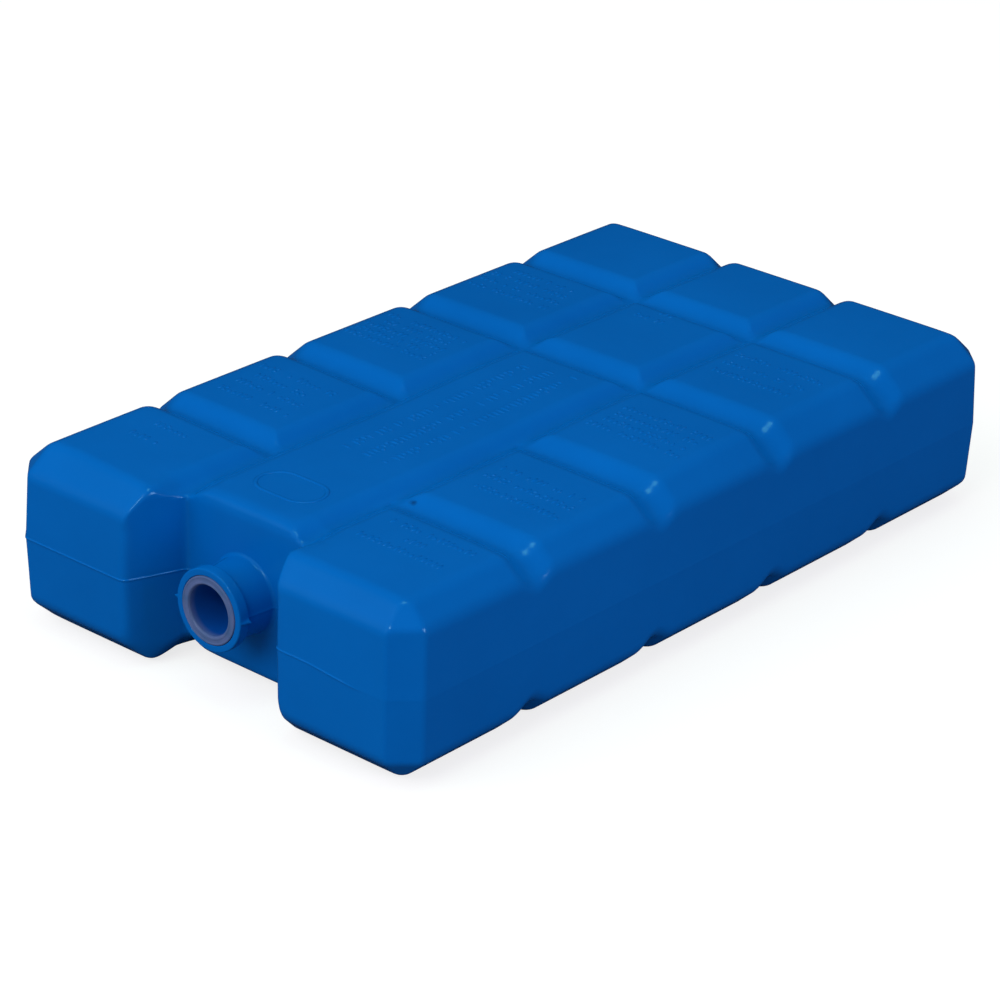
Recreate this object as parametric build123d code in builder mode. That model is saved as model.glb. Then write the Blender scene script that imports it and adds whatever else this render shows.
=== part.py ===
from build123d import *
from math import cos, radians, sin, sqrt, tan
import os

# Reusable ice pack: a flat blow-moulded bottle, sealed full of cooling liquid,
# with a press-in plug in a short filler neck. Both broad faces are divided by
# grooves into low square panels, and the corners are cut to flat facets.
# Millimetres. The bottle lies flat, its length along Y, the filler end at -Y,
# with the origin under the middle of its box, on the plane that it rests on.

# Block
length = 166.0
width = 96.0
height = 35.2
wall_draft = 2.0
bevel = 5.4
edge_radius = 3.0
corner_cut = 4.8

# Grooves on both broad faces
panel_rows = 5
undivided_rows = 3
long_groove_spacing = 28.2
long_groove_depth = 2.1
long_floor_radius = 1.8
cross_groove_depth = 2.0
cross_floor_radius = 3.2
groove_lip_radius = 1.2

# Notch that the filler neck stands in
notch_mouth = 37.2
notch_root = 25.6
notch_depth = 10.6
notch_corner_radius = 1.8
notch_rim_bevel = 1.5
under_slope = 6.6
under_slope_depth = 3.3

# Filler neck
neck_diameter = 12.6
neck_reach = 7.9
neck_root_radius = 2.2
flange_diameter = 15.2
flange_thickness = 2.4
flange_edge_bevel = 0.5
bore_diameter = 10.6
seat_depth = 0.9

# Press-in plug
plug_clearance = 0.05
plug_head_diameter = 12.6
plug_head_thickness = 1.0
plug_stem_length = 10.4
plug_tip_bevel = 0.6
plug_floor = 1.2
cup_mouth_diameter = 8.6
cup_floor_diameter = 7.8
cup_lip_bevel = 0.4
plug_bottom_gap = 0.4

# Cutters run this far past the surface they cut, and their lips start this far
# above it, so that no two surfaces only just touch
past = 10.0
lip_rise = 0.04

mid_height = height / 2
front = -length / 2
notch_back = front + notch_depth
flange_face = notch_back - neck_reach
row_pitch = length / panel_rows
groove_x = long_groove_spacing / 2
draft_in = mid_height * tan(radians(wall_draft))
bevel_foot_z = height - bevel * cos(radians(wall_draft))


def bevel_top(span):
    """Distance from the middle to where the upper face meets the bevel."""
    return span / 2 - draft_in - bevel


def bevel_foot(span):
    """Distance from the middle to where the bevel meets the wall."""
    return span / 2 - draft_in + bevel * sin(radians(wall_draft))


def edge_run(span):
    """Two points of a groove's route past the edge of the upper face: the corner
    that the bevel starts at, and a point beyond the block in line with the bevel."""
    top = bevel_top(span)
    foot = bevel_foot(span)
    fall = (height - bevel_foot_z) / (foot - top)
    return [(top, height), (top + bevel + past, height - fall * (bevel + past))]


def groove_section(depth, floor_radius):
    """Section of a groove with sides at 45 degrees, a round floor and rounded lips."""
    apex = depth + floor_radius * (sqrt(2) - 1)
    half = apex + lip_rise
    lip = half + groove_lip_radius
    points = [
        (-lip, lip_rise),
        (-half, lip_rise),
        (0, -apex),
        (half, lip_rise),
        (lip, lip_rise),
        (lip, depth),
        (-lip, depth),
    ]
    lips = groove_lip_radius
    FilletPolyline(*points, radius=[0, lips, floor_radius, lips, 0, 0, 0], close=True)


# Cutters for the cross grooves. They run down over the bevels on the long sides.
# Beside the long middle panel they start in the long grooves and go outwards only.
with BuildPart() as cross_grooves:
    for row in range(1, panel_rows):
        y = front + row * row_pitch
        lane = Plane(origin=(0, y, 0), x_dir=(1, 0, 0), z_dir=(0, -1, 0))
        right = edge_run(width)
        if row < undivided_rows:
            route = [(groove_x, height), *right]
        else:
            left = [(-x, z) for x, z in reversed(right)]
            route = [*left, *right]
        with BuildLine(lane) as path:
            Polyline(*route)
        start = Plane(origin=path.line @ 0, x_dir=(0, 1, 0), z_dir=path.line % 0)
        with BuildSketch(start):
            with BuildLine():
                groove_section(cross_groove_depth, cross_floor_radius)
            make_face()
        sweep(path=path.wire(), transition=Transition.RIGHT)
        if row < undivided_rows:
            mirror(about=Plane.YZ)

# Cutters for the two long grooves, from the notch to the bevel of the far end
with BuildPart() as long_grooves:
    lane = Plane(origin=(groove_x, 0, 0), x_dir=(0, 1, 0), z_dir=(1, 0, 0))
    with BuildLine(lane) as path:
        Polyline((front, height), *edge_run(length))
    start = Plane(origin=path.line @ 0, x_dir=(-1, 0, 0), z_dir=path.line % 0)
    with BuildSketch(start):
        with BuildLine():
            groove_section(long_groove_depth, long_floor_radius)
        make_face()
    sweep(path=path.wire(), transition=Transition.RIGHT)
    mirror(about=Plane.YZ)


# Bottle: one half above the parting line, mirrored, then the neck
with BuildPart() as bottle:
    with BuildSketch(Plane.XY.offset(mid_height)):
        Rectangle(width, length)
    extrude(amount=mid_height, taper=wall_draft)
    chamfer(bottle.faces().sort_by(Axis.Z)[-1].edges(), length=bevel)
    rims = bottle.edges().filter_by_position(Axis.Z, bevel_foot_z - lip_rise, height)
    fillet(rims.filter_by(Axis.X) + rims.filter_by(Axis.Y), radius=edge_radius)

    # Corner facets: upright below, leaning in above to a point on the broad face
    tip = -sqrt(2) * (bevel_foot(width) - bevel_top(width))
    panel = -corner_cut / sqrt(2)
    panel_at_parting = panel + sqrt(2) * (width / 2 - bevel_foot(width))
    lean = (panel - tip) / (height - bevel_foot_z)
    facet = [
        (panel_at_parting, mid_height - past),
        (panel_at_parting, mid_height),
        (panel, bevel_foot_z),
        (tip - lean * past, height + past),
        (past, height + past),
        (past, mid_height - past),
    ]
    for side in (-1, 1):
        for end in (-1, 1):
            corner = (side * bevel_foot(width), end * bevel_foot(length), 0)
            diagonal = Plane(origin=corner, x_dir=(side, end, 0), z_dir=(end, -side, 0))
            with BuildSketch(diagonal):
                Polygon(*facet, align=None)
            extrude(amount=past, both=True, mode=Mode.SUBTRACT)

    # Notch, narrower towards the neck, with its corners rounded
    mouth = notch_mouth / 2
    root = notch_root / 2
    mouth_y = front - lip_rise
    notch = [
        (-mouth - past, mouth_y - past),
        (-mouth - past, mouth_y),
        (-mouth, mouth_y),
        (-root, notch_back),
        (root, notch_back),
        (mouth, mouth_y),
        (mouth + past, mouth_y),
        (mouth + past, mouth_y - past),
    ]
    with BuildSketch(Plane.XY.offset(mid_height)):
        with BuildLine():
            FilletPolyline(*notch, radius=[0, 0] + [notch_corner_radius] * 4 + [0, 0], close=True)
        make_face()
    extrude(amount=mid_height + past, mode=Mode.SUBTRACT)

    # Middle panel's end, broken by a small bevel down to the notch. The long grooves
    # are deeper than this bevel, so its ends lie in them.
    slope_foot = height - notch_rim_bevel
    panel_end = [
        (notch_back - past, slope_foot - past),
        (notch_back + notch_rim_bevel + past, height + past),
        (notch_back - past, height + past),
    ]
    with BuildSketch(Plane.YZ):
        Polygon(*panel_end, align=None)
    extrude(amount=root, both=True, mode=Mode.SUBTRACT)

    add(cross_grooves.part, mode=Mode.SUBTRACT)
    add(long_grooves.part, mode=Mode.SUBTRACT)
    mirror(about=Plane.XY.offset(mid_height))

    # Underneath, the middle panel's end slopes up to the notch, deeper than the grooves
    under_end = [
        (notch_back + under_slope, 0),
        (notch_back, under_slope_depth),
        (notch_back - past, under_slope_depth + past),
        (notch_back - past, -past),
        (notch_back + under_slope, -past),
    ]
    with BuildSketch(Plane.YZ):
        Polygon(*under_end, align=None)
    extrude(amount=root, both=True, mode=Mode.SUBTRACT)

    # Neck and flange, turned about the axis that the plug goes in along
    neck = neck_diameter / 2
    flange = flange_diameter / 2
    flange_back = flange_face + flange_thickness
    buried = notch_back + neck_root_radius
    turned = [
        (flange_face, 0),
        (flange_face, flange - flange_edge_bevel),
        (flange_face + flange_edge_bevel, flange),
        (flange_back - flange_edge_bevel, flange),
        (flange_back, flange - flange_edge_bevel),
        (flange_back, neck),
        (notch_back + lip_rise, neck),
        (notch_back + lip_rise, neck + 2 * neck_root_radius),
        (buried, neck + 2 * neck_root_radius),
        (buried, 0),
    ]
    rounds = [0] * 6 + [neck_root_radius] + [0] * 3
    with BuildSketch(Plane.YZ.shift_origin((0, 0, mid_height))):
        with BuildLine():
            FilletPolyline(*turned, radius=rounds, close=True)
        make_face()
    revolve(axis=Axis((0, 0, mid_height), (0, 1, 0)))
    with Locations(Plane(origin=(0, flange_face, mid_height), z_dir=(0, -1, 0))):
        CounterBoreHole(
            radius=bore_diameter / 2,
            counter_bore_radius=plug_head_diameter / 2 + plug_clearance,
            counter_bore_depth=seat_depth,
            depth=seat_depth + plug_stem_length + plug_bottom_gap,
        )
bottle.part.label = "bottle"


# Plug: a hollow stem pressed into the bore, its head seated in the flange
with BuildPart() as filler_plug:
    seat = flange_face + seat_depth
    stem = bore_diameter / 2 - plug_clearance
    stem_end = seat + plug_stem_length
    head_face = seat - plug_head_thickness
    cup_end = stem_end - plug_floor
    section = [
        (head_face, cup_mouth_diameter / 2 + cup_lip_bevel),
        (head_face, plug_head_diameter / 2),
        (seat, plug_head_diameter / 2),
        (seat, stem),
        (stem_end - plug_tip_bevel, stem),
        (stem_end, stem - plug_tip_bevel),
        (stem_end, 0),
        (cup_end, 0),
        (cup_end, cup_floor_diameter / 2),
        (head_face + cup_lip_bevel, cup_mouth_diameter / 2),
    ]
    with BuildSketch(Plane.YZ.shift_origin((0, 0, mid_height))):
        with BuildLine():
            Polyline(*section, close=True)
        make_face()
    revolve(axis=Axis((0, 0, mid_height), (0, 1, 0)))
filler_plug.part.label = "filler_plug"


os.makedirs("parts", exist_ok=True)
export_step(bottle.part, "parts/bottle.step")
export_step(filler_plug.part, "parts/filler_plug.step")
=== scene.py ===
import bpy
import numpy as np
from mathutils import Matrix


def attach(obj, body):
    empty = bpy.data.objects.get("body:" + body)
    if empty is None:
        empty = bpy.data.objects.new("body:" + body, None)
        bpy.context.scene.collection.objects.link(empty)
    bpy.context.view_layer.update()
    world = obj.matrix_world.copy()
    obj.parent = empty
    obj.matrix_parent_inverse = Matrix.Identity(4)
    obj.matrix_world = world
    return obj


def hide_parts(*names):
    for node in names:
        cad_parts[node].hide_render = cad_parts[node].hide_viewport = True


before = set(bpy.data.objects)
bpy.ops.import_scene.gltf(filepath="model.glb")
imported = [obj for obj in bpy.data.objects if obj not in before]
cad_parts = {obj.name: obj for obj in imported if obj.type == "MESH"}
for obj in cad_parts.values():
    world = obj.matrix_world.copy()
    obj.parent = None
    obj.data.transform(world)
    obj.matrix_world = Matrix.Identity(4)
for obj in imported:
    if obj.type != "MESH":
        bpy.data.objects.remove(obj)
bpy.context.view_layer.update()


# Bottle. The real piece is one hollow shell of blue polyethylene, blown in a mould
# that closes at mid-height. The walls lean in from that parting line, every edge
# comes out soft, and a thin seam of flash is left there. Sizes are in millimetres.
HALF_WIDTH, HALF_LENGTH, MIDDLE = 48.0, 83.0, 17.6
HALF_HEIGHT, SWELL = 17.35, 0.24
DRAFT = np.tan(np.radians(2.0))
BEVEL_TOP_X, BEVEL_TOP_Y, BEVEL_RUN, BEVEL_FALL = 41.985, 76.985, 5.588, 5.15
FACET_TOP, FACET_FOOT, FACET_PARTING = 84.126, 88.635, 89.237
GROOVE_X, CROSS_Y, DIVIDED_FROM = 14.1, (-50.1, -17.1, 16.7, 50.0), 0.0
LONG_DEPTH, LONG_HALF, CROSS_DEPTH, CROSS_HALF, LIP = 1.9, 2.8, 2.0, 3.4, 1.8
RUN_OUT, RUN_OUT_FROM, RUN_OUT_FALL = 0.35, 1.0, 4.5
CROWN, SINK, SAG_ABOVE, SAG_BELOW = 0.16, 0.15, 0.8, 0.35
NOTCH_BACK, NOTCH_ROOT, NOTCH_MOUTH = -71.5, 14.0, 18.35
RIM_BEVEL, UNDER_RUN, UNDER_DEPTH = 1.7, 6.0, 2.5
DIP_X, DIP_ABOVE, DIP_BELOW = 13.6, 0.9, 1.9
SEAM, SEAM_HALF = 0.13, 0.17
TOP_ROUND, END_ROUND, CORNER_ROUND, RIM_ROUND = 1.1, 0.9, 0.8, 1.6


def soft_max(a, b, k):
    """The larger of a and b. Where they are within k of each other a parabola
    joins them, which rounds the edge between two surfaces."""
    near = np.clip(k - np.abs(a - b), 0, None)
    return np.maximum(a, b) + near * near / (4 * k)


def soft_min(a, b, k):
    """The smaller of a and b, joined in the same way."""
    return -soft_max(-a, -b, k)


def groove_depth(x, y):
    """Depth of the grooves. Inside a groove's edge the depth grows as the distance
    from that edge, so the sides slope at 45 degrees, and parabolas round it off to
    the floor and to the panel, with a tighter lip next to the notch. Cross grooves
    stop at the undivided middle panel."""
    lip = LIP - 1.0 * np.clip((-70 - y) / 5, 0, 1)

    def section(reach, half, depth):
        floor = soft_min(np.maximum(reach, -4.0), depth, half - depth)
        return soft_max(floor, 0.0, lip) * (reach > -lip)

    along = section(LONG_HALF - np.abs(np.abs(x) - GROOVE_X), LONG_HALF, LONG_DEPTH)
    across = np.full_like(along, -20.0)
    for row in CROSS_Y:
        reach = CROSS_HALF - np.abs(y - row)
        if row < DIVIDED_FROM:
            reach = reach - 4 * np.clip(GROOVE_X - np.abs(x), 0, None)
        across = np.maximum(across, reach)
    across = section(across, CROSS_HALF, CROSS_DEPTH)
    return soft_max(along, across, 0.01 + 0.95 * np.clip(np.minimum(along, across), 0, 1))


def panel_crown(x, y):
    """Depth by which a panel's surface falls away from its middle, as the fourth
    power of the distance to its edge, because blown plastic shrinks at corners."""
    outer_middle, outer_half = 28.05, 13.95
    long_middle, long_half = -27.85, 44.55
    a = np.abs(x)
    u = np.where(a < GROOVE_X, a / GROOVE_X, (a - outer_middle) / outer_half)
    edges = np.array([-HALF_LENGTH, *CROSS_Y, HALF_LENGTH])
    i = np.clip(np.searchsorted(edges, y) - 1, 0, len(edges) - 2)
    v = (2 * y - edges[i] - edges[i + 1]) / (edges[i + 1] - edges[i])
    v = np.where((a < GROOVE_X) & (y < CROSS_Y[2]), (y - long_middle) / long_half, v)
    return CROWN * np.clip(u, -1, 1) ** 4 + CROWN * np.clip(v, -1, 1) ** 4


def slack(x, y, z):
    """Depth by which both broad faces sink from the middle towards the filler end,
    less on the left, because the bottle is filled less tightly there. It grows as
    the cubic step from 0 to 1, and the upper face lies a little lower all over."""
    t = np.clip((5 - y) / 32, 0, 1)
    sag = t * t * (3 - 2 * t) * np.clip((x + 36) / 30, 0, 1)
    return np.where(z > MIDDLE, SINK + SAG_ABOVE * sag, SAG_BELOW * sag)


def seam_line(x, y):
    """Height of the seam: the parting line, but stepped up a little on the block to
    the right of the neck, from where it slopes down again towards the corner."""
    step = 0.5 * np.clip((x - 13) / 5, 0, 1) - 0.8 * np.clip((x - 26) / 10, 0, 1)
    return MIDDLE + step * np.clip((-66 - y) / 8, 0, 1)


def bottle_field(x, y, z):
    """Distance-like value, negative in the bottle and zero on its surface: the
    soft maximum of the planes of top, bevels, walls and corner facets, with the
    grooves' depth, less down the bevels, added to top and bevels, the notch taken
    away, and the seam's flash put on as a bell in height."""
    h = np.abs(z - MIDDLE)
    ax, ay = np.abs(x), np.abs(y)

    # Broad faces, swollen in the middle and on the left, and their bevels
    slope = np.hypot(BEVEL_RUN, BEVEL_FALL)
    swelling = SWELL * np.clip(1 - np.clip(x / 46, 0, 1) ** 4, 0, 1)
    swelling = swelling * np.clip(1 - (ay / 82) ** 6, 0, 1)
    top = h - HALF_HEIGHT - swelling + panel_crown(x, y) + slack(x, y, z)
    side_bevel = ((ax - BEVEL_TOP_X) * BEVEL_FALL + (h - HALF_HEIGHT) * BEVEL_RUN) / slope
    end_bevel = ((ay - BEVEL_TOP_Y) * BEVEL_FALL + (h - HALF_HEIGHT) * BEVEL_RUN) / slope
    broad = soft_max(soft_max(top, side_bevel, TOP_ROUND), end_bevel, END_ROUND)
    run_out = np.clip((HALF_HEIGHT - RUN_OUT_FROM - h) / RUN_OUT_FALL, 0, 1)
    broad = broad + groove_depth(x, y) * (1 - RUN_OUT * run_out)
    dip = np.exp(-(((ax - DIP_X) / 4) ** 2)) * np.clip(1 - np.abs(y - NOTCH_BACK) / 6, 0, 1)
    broad = broad + np.where(z < MIDDLE, DIP_BELOW, DIP_ABOVE) * dip

    # Drafted walls and the corner facets, upright and then leaning in
    side = ax - (HALF_WIDTH - SEAM - DRAFT * h)
    end = ay - (HALF_LENGTH - SEAM - DRAFT * h)
    walls = soft_max(side, end, CORNER_ROUND)
    shape = soft_max(broad, walls, TOP_ROUND)
    s = (ax + ay) / np.sqrt(2)
    foot = HALF_HEIGHT - BEVEL_FALL
    upright = s - FACET_PARTING + SEAM + h * (FACET_PARTING - FACET_FOOT) / foot
    rise, fall = FACET_FOOT - FACET_TOP, BEVEL_FALL
    leaning = ((s - FACET_TOP) * fall + (h - HALF_HEIGHT) * rise) / np.hypot(rise, fall)
    shape = soft_max(shape, soft_max(upright, leaning, 0.5), 0.35)

    # Notch, and the slopes that its back wall ends in above and below
    back = NOTCH_BACK - y
    spread = (NOTCH_MOUTH - NOTCH_ROOT) / (HALF_LENGTH + NOTCH_BACK)
    beside = (NOTCH_ROOT + back * spread - ax) / np.hypot(1, spread)
    notch = soft_min(back, beside, CORNER_ROUND)
    rim = 1.4 + np.where(z > MIDDLE, -0.8, 0.9) * np.clip((h - 9.5) / 2.5, 0, 1)
    shape = soft_max(shape, notch, rim)
    only_middle = 3 * np.clip(ax - NOTCH_ROOT + 0.4, 0, None)
    above = (back + h - HALF_HEIGHT + RIM_BEVEL) / np.sqrt(2)
    below = back * UNDER_DEPTH + (h - HALF_HEIGHT + UNDER_DEPTH) * UNDER_RUN
    below = below / np.hypot(UNDER_RUN, UNDER_DEPTH)
    shape = soft_max(shape, np.where(z > MIDDLE, above, below) - only_middle, RIM_ROUND)

    # Flash, lower towards the far end and almost gone on the right long side
    flash = SEAM * np.clip((38.5 - x) / 5, 0.06, 1) * np.clip(0.55 - y / 110, 0.3, 1)
    return shape - flash * np.exp(-(((z - seam_line(x, y)) / SEAM_HALF) ** 2))


def graded(*runs):
    """Grid lines from runs of (start, end, step): each run is divided evenly."""
    parts = [np.linspace(a, b, int(round((b - a) / step)) + 1)[:-1] for a, b, step in runs]
    return np.concatenate(parts + [[runs[-1][1]]])


def make_mesh(name, points, faces, normals=None):
    """A smooth mesh object from points in millimetres and faces as index rows."""
    mesh = bpy.data.meshes.new(name)
    rows = [row for part in faces for row in part.tolist()]
    mesh.from_pydata((np.asarray(points) * 0.001).tolist(), [], rows)
    mesh.shade_smooth()
    if normals is not None:
        mesh.normals_split_custom_set_from_vertices(normals)
    piece = bpy.data.objects.new(name, mesh)
    bpy.context.scene.collection.objects.link(piece)
    return piece


def grid_quads(ids):
    """Quads between neighbouring rows and columns of a grid of point numbers."""
    return np.stack([ids[:-1, :-1], ids[:-1, 1:], ids[1:, 1:], ids[1:, :-1]], -1).reshape(-1, 4)


def bottle_surface():
    """The whole surface from three grids of rays. Two are (x, y) grids whose rows
    bend round the notch and the cut corners, one above and one below; the third
    goes round the walls. Each ray starts well inside and is cut where the field
    is zero, found by halving. The normals are the field's slope. Lines are close
    together along edges, grooves, notch and seam."""
    half_x = graded((0, 9.5, 1.5), (9.5, 19.8, 0.33), (19.8, 40, 1.9), (40, 48, 0.36))
    xs = np.concatenate([-half_x[:0:-1], half_x])
    runs = [(-83, -75, 0.38), (-75, CROSS_Y[0] - 6, 0.75)]
    for row, after in zip(CROSS_Y, (*CROSS_Y[1:], 81)):
        runs += [(row - 6, row + 6, 0.37), (row + 6, after - 6, 1.8)]
    runs += [(75, 83, 0.38)]
    ys = graded(*runs)
    x, line = np.meshgrid(xs, ys)
    ax = np.abs(x)
    cut = np.clip(ax - 41.2, 0, 6.8)
    dent = np.clip((NOTCH_MOUTH - ax) / (NOTCH_MOUTH - NOTCH_ROOT), 0, 1)
    dent = (HALF_LENGTH + NOTCH_BACK) * dent
    front_pull = np.clip((-56 - line) / 19, 0, 1)
    back_pull = np.clip((line - 56) / 19, 0, 1)
    y = line + (cut + dent) * front_pull - cut * back_pull
    first, last = -HALF_LENGTH + cut + dent, HALF_LENGTH - cut
    edge = np.maximum(ax - 42, np.abs(line) - 77)
    high = HALF_HEIGHT - np.clip(edge, 0, None) * 6.5 / 6
    ny, nx = x.shape

    def hit(x, y, h, first, last):
        core_x, core_y = np.clip(x, -36, 36), np.clip(y, first + 12, last - 12)
        start = np.stack([core_x, core_y, np.clip(h, -5, 5) + MIDDLE])
        aim = np.stack([x, y, h + MIDDLE]) - start
        near, far = np.zeros_like(x), np.full_like(x, 2.4)
        for _ in range(24):
            mid = (near + far) / 2
            out = bottle_field(*(start + mid * aim)) > 0
            near, far = np.where(out, near, mid), np.where(out, mid, far)
        return (start + near * aim).reshape(3, -1).T

    above = hit(x, y, high, first, last)
    below = hit(x, y, -high, first, last)
    ids = np.arange(ny * nx).reshape(ny, nx)
    ring = np.concatenate([ids[0, :-1], ids[:-1, -1], ids[-1, :0:-1], ids[:0:-1, 0]])
    levels = np.array([10.0, 9.5, 9.0, 8.2, 7.0, 5.0, 3.0, 1.4, 0.7, 0.45, 0.3, 0.2, 0.1, 0.0])
    levels = np.concatenate([levels, -levels[-2::-1]])
    round_x, round_y = x.ravel()[ring], y.ravel()[ring]
    outline = (round_x, round_y, first.ravel()[ring], last.ravel()[ring])
    wall_x, wall_y, wall_first, wall_last = (np.tile(a, (len(levels), 1)) for a in outline)
    lift = np.clip(1 - np.abs(levels[:, None]) / 7, 0, 1)
    lift = (seam_line(round_x, round_y) - MIDDLE) * lift
    walls = hit(wall_x, wall_y, levels[:, None] + lift, wall_first, wall_last)
    wall_ids = 2 * ny * nx + np.arange(walls.shape[0]).reshape(len(levels), -1)
    belt = np.concatenate([ring[None], wall_ids, ring[None] + ny * nx])
    belt = np.concatenate([belt, belt[:, :1]], 1)
    points = np.concatenate([above, below, walls])
    quads = [grid_quads(ids), grid_quads(ids)[:, ::-1] + ny * nx, grid_quads(belt)[:, ::-1]]
    step = 0.02
    slope = [
        bottle_field(*(points + step * d).T) - bottle_field(*(points - step * d).T)
        for d in np.eye(3)
    ]
    normals = np.stack(slope, 1)
    normals /= np.linalg.norm(normals, axis=1, keepdims=True)
    return points, quads, normals


def nodes_of(material):
    """Clears a material's nodes and returns a function that adds one, links its
    inputs to other nodes' outputs and sets inputs by name or number."""
    material.use_nodes = True
    tree = material.node_tree
    tree.nodes.clear()

    def add(kind, links=(), values=(), operation=None):
        node = tree.nodes.new(kind)
        if operation:
            node.operation = operation
        for name, value in dict(values).items():
            node.inputs[name].default_value = value
        for source, name in links:
            tree.links.new(source, node.inputs[name])
        return node

    return add


def ramp_of(node, stops):
    """Sets the stops of a colour ramp from pairs of position and colour."""
    ramp = node.color_ramp
    for at, colour in stops[2:]:
        ramp.elements.new(at)
    for element, (at, colour) in zip(ramp.elements, stops):
        element.position, element.color = at, (*colour, 1)


# The blue polyethylene is coloured right through. It has a satin face with a faint
# orange-peel from the mould, slight cloudiness, and a few fine scuffs from use. One
# dark speck sits on the upper face, at the start of the first cross groove.
PALE_BLUE, DEEP_BLUE, SPECK_BLUE = (0.0, 0.123, 0.485), (0.0, 0.11, 0.44), (0.002, 0.02, 0.09)
SPECK = (0.0172, -0.0484, 0.0332)
ROUGH_LOW, ROUGH_HIGH, SCUFF_ROUGH = 0.155, 0.2, 0.05
blue = bpy.data.materials.new("blue_polyethylene")
add = nodes_of(blue)
place = add("ShaderNodeTexCoord").outputs["Object"]
cloud = add(
    "ShaderNodeTexNoise", [(place, "Vector")], {"Scale": 28.0, "Detail": 5.0, "Roughness": 0.62}
)
tint = add("ShaderNodeValToRGB", [(cloud.outputs["Fac"], "Fac")])
ramp_of(tint, [(0.3, DEEP_BLUE), (0.7, PALE_BLUE)])
stretch = add(
    "ShaderNodeMapping",
    [(place, "Vector")],
    {"Rotation": (0.3, 0.2, 0.7), "Scale": (40, 420, 40)},
)
scuff = add(
    "ShaderNodeTexNoise",
    [(stretch.outputs["Vector"], "Vector")],
    {"Scale": 1.0, "Detail": 4.0, "Roughness": 0.7},
)
scuffed = add("ShaderNodeValToRGB", [(scuff.outputs["Fac"], "Fac")])
ramp_of(scuffed, [(0.62, (0, 0, 0)), (0.78, (1, 1, 1))])
gloss = add(
    "ShaderNodeMapRange",
    [(cloud.outputs["Fac"], "Value")],
    {"To Min": ROUGH_LOW, "To Max": ROUGH_HIGH},
)
rough = add(
    "ShaderNodeMath",
    [(scuffed.outputs["Color"], 0), (gloss.outputs["Result"], 2)],
    {1: SCUFF_ROUGH},
    "MULTIPLY_ADD",
)
peel = add(
    "ShaderNodeTexNoise", [(place, "Vector")], {"Scale": 900.0, "Detail": 2.0, "Roughness": 0.5}
)
bump = add(
    "ShaderNodeBump", [(peel.outputs["Fac"], "Height")], {"Strength": 0.05, "Distance": 0.0002}
)
from_speck = add("ShaderNodeVectorMath", [(place, 0)], {1: SPECK}, "DISTANCE")
ragged = add(
    "ShaderNodeMath",
    [(peel.outputs["Fac"], 0), (from_speck.outputs["Value"], 2)],
    {1: 0.0012},
    "MULTIPLY_ADD",
)
dirt = add(
    "ShaderNodeMapRange",
    [(ragged.outputs[0], "Value")],
    {"From Min": 0.0009, "From Max": 0.0016, "To Min": 0.75, "To Max": 0.0},
)
marked = add(
    "ShaderNodeMixRGB",
    [(dirt.outputs["Result"], "Fac"), (tint.outputs["Color"], "Color1")],
    {"Color2": (*SPECK_BLUE, 1)},
)
shade = add(
    "ShaderNodeBsdfPrincipled",
    [
        (marked.outputs["Color"], "Base Color"),
        (rough.outputs[0], "Roughness"),
        (bump.outputs["Normal"], "Normal"),
    ],
    {"Specular IOR Level": 0.45, "Specular Tint": (0.4, 0.95, 1.0, 1)},
)
add("ShaderNodeOutputMaterial", [(shade.outputs["BSDF"], "Surface")])

body = make_mesh("bottle_body", *bottle_surface())
body.data.materials.append(blue)
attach(body, "root")
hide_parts("bottle")


# Raised marks, moulded with the bottle: shallow relief that the mould leaves on the
# panels of the upper face. Here it is rows of plain rounded dashes and an empty
# oval frame near the neck. They are solid with the shell and sink a little into it.
MARK_HEIGHT = 0.15
DASH_PITCH, DASH_HALF, LINE_HALF, LINE_STRETCH = 1.2, 0.95, 0.36, 1.25
OVAL_CENTRE, OVAL_STRAIGHT, OVAL_RADIUS, OVAL_RIB_HALF = (0.0, -60.2), 2.9, 4.1, 0.42
# Each row: where it starts, where it ends and the line it is on. A row across runs
# from one x to another at a y, a row along from one y to another at an x.
ROWS_ACROSS = [
    (-34.3, -26.0, -59.0), (-34.8, -27.6, -64.6),
    (-39.6, -20.6, -27.2), (-37.0, -24.4, -31.2), (-40.4, -20.0, -35.1), (-40.4, -20.0, -39.6),
    (-39.8, -20.4, 7.6), (-38.0, -21.4, 4.6), (-40.2, -20.2, 1.7), (-40.2, -20.2, -1.0),
    (-40.2, -20.0, -3.8),
    (-38.5, -22.6, 41.4), (-40.0, -21.0, 37.9), (-40.0, -20.6, 34.5), (-40.0, -20.4, 31.0),
    (20.4, 40.2, -57.8), (28.2, 31.8, -61.5), (20.8, 39.6, -65.2),
    (20.8, 39.8, -28.8), (20.4, 40.4, -32.8), (22.2, 40.2, -37.2),
    (20.4, 39.8, 5.3), (21.0, 39.4, 2.2), (20.8, 39.4, -0.9), (19.6, 40.4, -4.1),
    (19.6, 39.8, 39.4), (20.0, 39.0, 34.9), (20.8, 38.4, 30.6),
    (-3.4, -0.2, 45.0), (-6.4, 1.6, 41.2),
]
ROWS_ALONG = [(-41.4, 9.0, -4.9), (-41.4, 8.2, 0.0), (-41.4, 9.4, 4.8)]


def panel_height(x, y):
    """Height of the upper face at x and y, found by halving."""
    low, high = np.full_like(x, MIDDLE + 12), np.full_like(x, MIDDLE + 18)
    for _ in range(22):
        mid = (low + high) / 2
        out = bottle_field(x, y, mid) > 0
        low, high = np.where(out, low, mid), np.where(out, mid, high)
    return low


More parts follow.
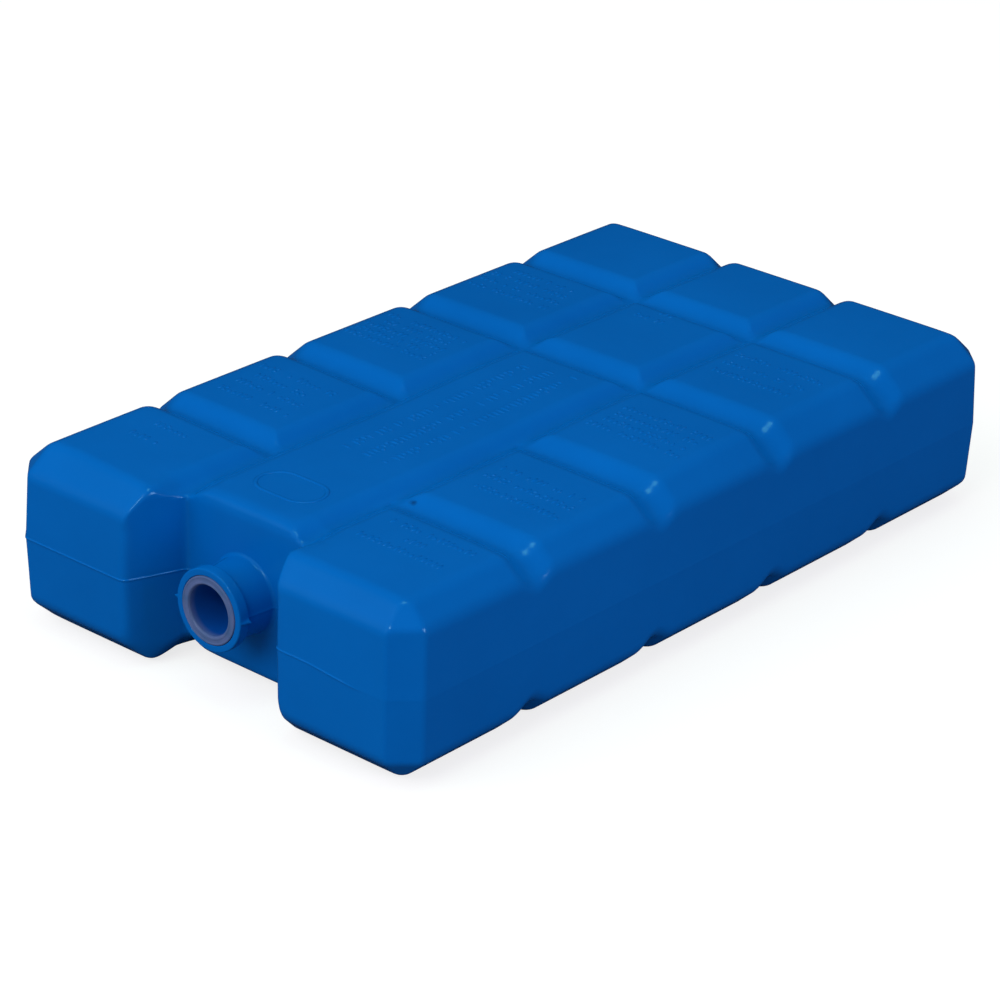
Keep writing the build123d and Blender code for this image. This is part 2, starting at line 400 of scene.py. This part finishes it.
def dash_row(start, end, chance):
    """Places along a row and, for each, its offset across the row and its half
    length: of seven draws, three give a tall dash, two a low one, one a pair of
    dots and one a gap."""
    at = np.arange(start, end, DASH_PITCH)
    kind = chance.integers(0, 7, len(at))
    at, kind = at[kind < 6], kind[kind < 6]
    tall, low, pair = at[kind < 3], at[(kind == 3) | (kind == 4)], at[kind == 5]
    place = np.concatenate([tall, low, pair, pair])
    offset = np.concatenate([0 * tall, 0 * low - 0.3, 0 * pair - 0.55, 0 * pair + 0.55])
    half = np.concatenate([0 * tall + DASH_HALF, 0 * low + 0.6, 0 * pair + 0.4, 0 * pair + 0.4])
    return place, offset, half


def dashes(centre_x, centre_y, half_x, half_y):
    """Domes on oval outlines that follow the face: the height falls as the square
    of the distance from the crown, to a rim that lies under the face. Each has three
    rings of points, one point at its crown and one under it."""
    sides, rings = 10, 3
    crown, bottom = sides * rings, sides * rings + 1
    turn = np.linspace(0, 2 * np.pi, sides, endpoint=False)
    reach = np.array([1.13, 0.8, 0.42, 0.0, 0.0])
    ring_x = centre_x[:, None, None] + half_x[:, None, None] * reach[:, None] * np.cos(turn)
    ring_y = centre_y[:, None, None] + half_y[:, None, None] * reach[:, None] * np.sin(turn)
    rise = MARK_HEIGHT * (1 - reach ** 2)
    rise[4] = -0.08
    z = panel_height(ring_x, ring_y) + rise[:, None]
    points = np.stack([ring_x, ring_y, z], -1)
    count = len(centre_x)
    ring_points = points[:, :rings].reshape(count, crown, 3)
    kept = np.concatenate([ring_points, points[:, rings:, 0]], 1)
    ring = np.arange(crown).reshape(rings, sides)
    ring = np.concatenate([ring, ring[:, :1]], 1)
    top = np.stack([ring[2, :-1], ring[2, 1:], np.full(sides, crown)], 1)
    under = np.stack([ring[0, 1:], ring[0, :-1], np.full(sides, bottom)], 1)
    shift = (bottom + 1) * np.arange(count)[:, None, None]
    parts = grid_quads(ring), top, under
    faces = [(part[None] + shift).reshape(-1, part.shape[1]) for part in parts]
    return kept.reshape(-1, 3), faces


def oval_frame(centre, straight, radius, start):
    """A low rounded rib along a closed path of two half circles joined by straight
    runs. Its points are numbered from start."""
    steps = 72
    angle = np.linspace(0, 2 * np.pi, steps, endpoint=False) + 0.01
    across = np.array([-1.13, -0.6, 0, 0.6, 1.13, 0]) * OVAL_RIB_HALF
    rise = MARK_HEIGHT * np.array([-0.27, 0.64, 1, 0.64, -0.27, -0.5])
    r = radius + across[:, None]
    x = centre[0] + np.sign(np.cos(angle)) * straight + r * np.cos(angle)
    y = centre[1] + r * np.sin(angle)
    points = np.stack([x, y, panel_height(x, y) + rise[:, None]], -1).reshape(-1, 3)
    ids = np.arange(len(across) * steps).reshape(len(across), steps)
    ids = np.concatenate([ids, ids[:1]], 0)
    ids = np.concatenate([ids, ids[:, :1]], 1)
    return points, [grid_quads(ids) + start]


chance = np.random.default_rng(11)
spot_x, spot_y, wide, tall = [], [], [], []
for start, end, line in ROWS_ACROSS:
    place, offset, half = dash_row(start, end, chance)
    spot_x.append(place)
    spot_y.append(line + offset)
    wide.append(0 * half + LINE_HALF)
    tall.append(half)
for start, end, line in ROWS_ALONG:
    place, offset, half = dash_row(start, end, chance)
    spot_x.append(line + LINE_STRETCH * offset)
    spot_y.append(place)
    wide.append(LINE_STRETCH * half)
    tall.append(0 * half + LINE_HALF)
dash_points, dash_faces = dashes(*map(np.concatenate, (spot_x, spot_y, wide, tall)))
oval_points, oval_faces = oval_frame(OVAL_CENTRE, OVAL_STRAIGHT, OVAL_RADIUS, len(dash_points))
mark_points = np.concatenate([dash_points, oval_points])
marks = make_mesh("raised_marks", mark_points, dash_faces + oval_faces)
marks.data.materials.append(blue)
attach(marks, "root")
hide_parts("bottle")


# Filler neck, moulded with the bottle: a short barrel that flares out of the
# notch's wall, a thick flange with the mould's seam across its rim and small
# torn tabs of flash there, and a straight bore that the plug is pressed into.
FLANGE_FACE, FLANGE_BACK, FLANGE_RADIUS = -80.3, -77.9, 7.62
BARREL_RADIUS, BORE_RADIUS, SEAT_RADIUS, SEAT_BOTTOM = 6.5, 5.3, 6.35, -79.42
NECK_ROOT, BORE_END = -71.485, -68.6
RIDGE_HEIGHT, RIDGE_HALF, TAB_HALF, TAB_REACH = 0.10, 0.22, 0.3, 0.5


def rounded(points, radii, steps=7):
    """A profile of straight runs with each corner replaced by an arc: the arc
    touches both runs at radius times the tangent of half the turn."""
    points = np.asarray(points, float)
    out = [points[:1]]
    for a, p, b, r in zip(points[:-2], points[1:-1], points[2:], radii):
        u, v = (a - p) / np.linalg.norm(a - p), (b - p) / np.linalg.norm(b - p)
        if r == 0:
            out.append(p[None])
            continue
        half = np.arccos(np.clip(u @ v, -1, 1)) / 2
        centre = p + (u + v) / np.linalg.norm(u + v) * r / np.sin(half)
        start, end = p + u * r / np.tan(half), p + v * r / np.tan(half)
        t = np.linspace(0, 1, steps)[:, None]
        spokes = (start - centre) * (1 - t) + (end - centre) * t
        out.append(centre + spokes / np.linalg.norm(spokes, axis=1, keepdims=True) * r)
    out.append(points[-1:])
    return np.concatenate(out)


def turned(profile, angles, change=None):
    """Turns a profile of (y, radius) about the neck's axis, at mid-height, and
    closes it at both ends. What change(y, radius, angle) gives is added to the
    radius."""
    y, r = profile[1:-1, 0][:, None], profile[1:-1, 1][:, None]
    y = np.repeat(y, len(angles), 1)
    r = np.repeat(r, len(angles), 1)
    if change is not None:
        r = r + change(y, r, angles[None])
    points = np.stack([r * np.cos(angles), y, MIDDLE + r * np.sin(angles)], -1).reshape(-1, 3)
    poles = np.array([[0, profile[0, 0], MIDDLE], [0, profile[-1, 0], MIDDLE]])
    ids = np.arange(len(points)).reshape(r.shape)
    ids = np.concatenate([ids, ids[:, :1]], 1)
    n = len(points)
    caps = [
        np.stack([np.full(len(angles), n), ids[0, 1:], ids[0, :-1]], 1),
        np.stack([np.full(len(angles), n + 1), ids[-1, :-1], ids[-1, 1:]], 1),
    ]
    return np.concatenate([points, poles]), [grid_quads(ids)[:, ::-1]] + caps


# Every 3 degrees, and closer at the seam on both sides
seam_angles = [1, 2, 358, 359, 178, 179, 181, 182]
around = np.radians(np.sort(np.concatenate([np.arange(0, 360, 3.0), seam_angles])))


def neck_flash(y, r, angle):
    """Seam ridge on both sides of barrel and flange, as a narrow bell in height,
    and a taller torn tab on the flange's rim, at its rear on the right and at its
    front on the left. Bore, seat and the flange's face stay smooth."""
    off = np.sin(angle) * r
    outside = (r > 6.2) & (y > FLANGE_FACE + 0.2)
    ridge = RIDGE_HEIGHT * np.exp(-(off / RIDGE_HALF) ** 2)
    on_right = np.cos(angle) > 0
    tab_y = np.where(on_right, -78.7, -79.7)
    tab_height = np.where(on_right, 1.15, 1.2)
    tab = tab_height * np.exp(-(off / TAB_HALF) ** 2 - ((y - tab_y) / TAB_REACH) ** 2)
    return outside * (ridge + tab * (r > 7.3))


neck_line = rounded(
    [
        (-70.8, 0),
        (-70.8, 9.4),
        (NECK_ROOT, 9.4),
        (NECK_ROOT, 7.1),
        (FLANGE_BACK, BARREL_RADIUS),
        (FLANGE_BACK, FLANGE_RADIUS),
        (FLANGE_FACE, FLANGE_RADIUS),
        (FLANGE_FACE, SEAT_RADIUS),
        (SEAT_BOTTOM, SEAT_RADIUS),
        (SEAT_BOTTOM, BORE_RADIUS),
        (BORE_END, BORE_RADIUS),
        (BORE_END, 0),
    ],
    [0, 0.01, 0.8, 0.4, 0.5, 0.28, 0.15, 0, 0.15, 0],
)
neck = make_mesh("filler_neck", *turned(neck_line, around, neck_flash))
neck.data.materials.append(blue)
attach(neck, "root")
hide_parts("bottle")


# Filler plug: a hollow stopper of uncoloured polyethylene pressed into the neck
# and spun in, so its ring shows fine turned steps. It is milky, and the blue
# neck and the liquid behind show through it. Its cup is painted darker blue,
# partly for that showing-through and partly as painted shade in the hollow.
plug_line = rounded(
    [
        (-69.1, 0),
        (-69.1, 4.7),
        (-69.7, 5.25),
        (-79.4, 5.25),
        (-79.4, 6.28),
        (-80.42, 6.28),
        (-80.42, 5.95),
        (-80.36, 5.85),
        (-80.36, 5.3),
        (-80.42, 5.2),
        (-80.42, 4.9),
        (-80.1, 4.68),
        (-70.2, 4.1),
        (-70.2, 0.9),
        (-70.6, 0.6),
        (-70.6, 0),
    ],
    [0.1, 0.1, 0.1, 0.1, 0.2, 0.06, 0.05, 0.05, 0.06, 0.15, 0.2, 0.5, 0.1, 0.1],
    steps=5,
)
plug = make_mesh("plug_turned", *turned(plug_line, np.radians(np.arange(0, 360, 3.0))))

# The colour deepens from the ring in front to the cup, between the two Y values:
# partly the blue showing through, partly painted shade inside the cup's hollow.
CUP_BLUE_AND_SHADE, CUP_FROM, CUP_TO = (0.0, 0.06, 0.32), -0.0803, -0.0788
milky = bpy.data.materials.new("milky_polyethylene")
add = nodes_of(milky)
place = add("ShaderNodeTexCoord").outputs["Object"]
haze = add(
    "ShaderNodeTexNoise", [(place, "Vector")], {"Scale": 260.0, "Detail": 3.0, "Roughness": 0.6}
)
milk = add("ShaderNodeValToRGB", [(haze.outputs["Fac"], "Fac")])
ramp_of(milk, [(0.3, (0.05, 0.11, 0.26)), (0.7, (0.11, 0.14, 0.32))])
apart = add("ShaderNodeSeparateXYZ", [(place, "Vector")])
deep = add(
    "ShaderNodeMapRange",
    [(apart.outputs["Y"], "Value")],
    {"From Min": CUP_FROM, "From Max": CUP_TO},
)
# Painted shade: the inside of the cup is painted darker, mixed with the blue behind.
dark = add(
    "ShaderNodeMixRGB",
    [(deep.outputs["Result"], "Fac"), (milk.outputs["Color"], "Color1")],
    {"Color2": (*CUP_BLUE_AND_SHADE, 1)},
)
fine = add("ShaderNodeTexNoise", [(place, "Vector")], {"Scale": 1400.0, "Detail": 2.0})
bump = add(
    "ShaderNodeBump", [(fine.outputs["Fac"], "Height")], {"Strength": 0.15, "Distance": 0.0001}
)
shade = add(
    "ShaderNodeBsdfPrincipled",
    [(dark.outputs["Color"], "Base Color"), (bump.outputs["Normal"], "Normal")],
    {"Roughness": 0.4, "Specular IOR Level": 0.4},
)
add("ShaderNodeOutputMaterial", [(shade.outputs["BSDF"], "Surface")])
plug.data.materials.append(milky)
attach(plug, "root")
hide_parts("filler_plug")


# Stage: a plain floor that is white to the camera and dim to mirror-like rays, a
# soft room, lamps in front, above and on the right, and the camera of the photo.
FLOOR_GREY, FLOOR_GREY_MIRRORED, FLOOR_GLOW = 0.3, 0.02, 0.78
ROOM_LIGHT, ROOM_LIGHT_MIRRORED, WIDE_LAMP = 0.43, 0.006, 0.8
floor_mesh = bpy.data.meshes.new("floor")
floor_mesh.from_pydata([(-3, -3, 0), (3, -3, 0), (3, 3, 0), (-3, 3, 0)], [], [(0, 1, 2, 3)])
floor = bpy.data.objects.new("floor", floor_mesh)
bpy.context.scene.collection.objects.link(floor)
pale = bpy.data.materials.new("pale_floor")
add = nodes_of(pale)
path = add("ShaderNodeLightPath")
tone = add(
    "ShaderNodeMapRange",
    [(path.outputs["Is Glossy Ray"], "Value")],
    {"To Min": FLOOR_GREY, "To Max": FLOOR_GREY_MIRRORED},
)
grey = add("ShaderNodeBsdfDiffuse", [(tone.outputs["Result"], "Color")])
lift = add(
    "ShaderNodeMath", [(path.outputs["Is Camera Ray"], 0)], {1: FLOOR_GLOW}, operation="MULTIPLY"
)
glow = add("ShaderNodeEmission", [(lift.outputs[0], "Strength")])
both = add("ShaderNodeAddShader", [(grey.outputs["BSDF"], 0), (glow.outputs["Emission"], 1)])
add("ShaderNodeOutputMaterial", [(both.outputs["Shader"], "Surface")])
floor_mesh.materials.append(pale)

world = bpy.data.worlds.new("soft_room")
bpy.context.scene.world = world
world.use_nodes = True
room = world.node_tree
path = room.nodes.new("ShaderNodeLightPath")
dim = room.nodes.new("ShaderNodeMapRange")
dim.inputs["To Min"].default_value = ROOM_LIGHT
dim.inputs["To Max"].default_value = ROOM_LIGHT_MIRRORED
room.links.new(path.outputs["Is Glossy Ray"], dim.inputs["Value"])
room.links.new(dim.outputs["Result"], room.nodes["Background"].inputs["Strength"])
room.nodes["Background"].inputs["Color"].default_value = (1, 1, 1, 1)


def soft_lamp(name, direction, size, power, colour=(1, 1, 1), distance=1.2):
    """A square lamp at a distance along a direction, facing a point 20 mm above the
    origin. The plastic doesn't mirror the wide ones, which light it evenly. The
    smaller ones give the crisp highlights."""
    lamp = bpy.data.lights.new(name, "AREA")
    lamp.shape, lamp.size, lamp.energy, lamp.color = "SQUARE", size, power, colour
    back = np.asarray(direction, float) / np.linalg.norm(direction)
    side = np.cross((0, 0, 1), back)
    side /= np.linalg.norm(side)
    up = np.cross(back, side)
    turn = Matrix(np.stack([side, up, back], 1).tolist()).to_4x4()
    turn.translation = (back * distance + np.array([0, 0, 0.02])).tolist()
    thing = bpy.data.objects.new(name, lamp)
    thing.matrix_world = turn
    thing.visible_glossy = size < WIDE_LAMP
    bpy.context.scene.collection.objects.link(thing)


soft_lamp("front_softbox", (-0.28, -0.77, 0.57), 1.2, 9.0)
soft_lamp("small_softbox", (0.275, -0.705, 0.654), 0.22, 1.5)
soft_lamp("top_lamp", (0.04, -0.09, 0.99), 0.34, 0.9, (0.7, 1.3, 1.0))
soft_lamp("top_fill", (0.04, -0.09, 0.99), 0.9, 1.1, (0.5, 1.5, 1.0))
soft_lamp("side_softbox", (0.93, -0.04, 0.36), 0.4, 3.1, (1, 0.84, 1.08))

# The camera was fitted to the photo: the angles it looks from, in degrees, the
# point it looks at and its distance from there, in metres.
azimuth, elevation, roll = np.radians([40.541, 25.169, 1.763])
target, distance = np.array([0.01057, -0.01745, 0.02084]), 0.64648
flat = np.cos(elevation)
back = np.array([np.sin(azimuth) * flat, -np.cos(azimuth) * flat, np.sin(elevation)])
level = np.array([np.cos(azimuth), np.sin(azimuth), 0.0])
upward = np.cross(back, level)
right = level * np.cos(roll) + upward * np.sin(roll)
up = upward * np.cos(roll) - level * np.sin(roll)
view = Matrix(np.stack([right, up, back], 1).tolist()).to_4x4()
view.translation = (target + back * distance).tolist()
lens = bpy.data.cameras.new("photo_view")
lens.sensor_width, lens.lens, lens.clip_start = 36.0, 129.614, 0.01
camera = bpy.data.objects.new("photo_view", lens)
camera.matrix_world = view
bpy.context.scene.collection.objects.link(camera)
bpy.context.scene.camera = camera
bpy.context.scene.view_settings.view_transform = "Standard"
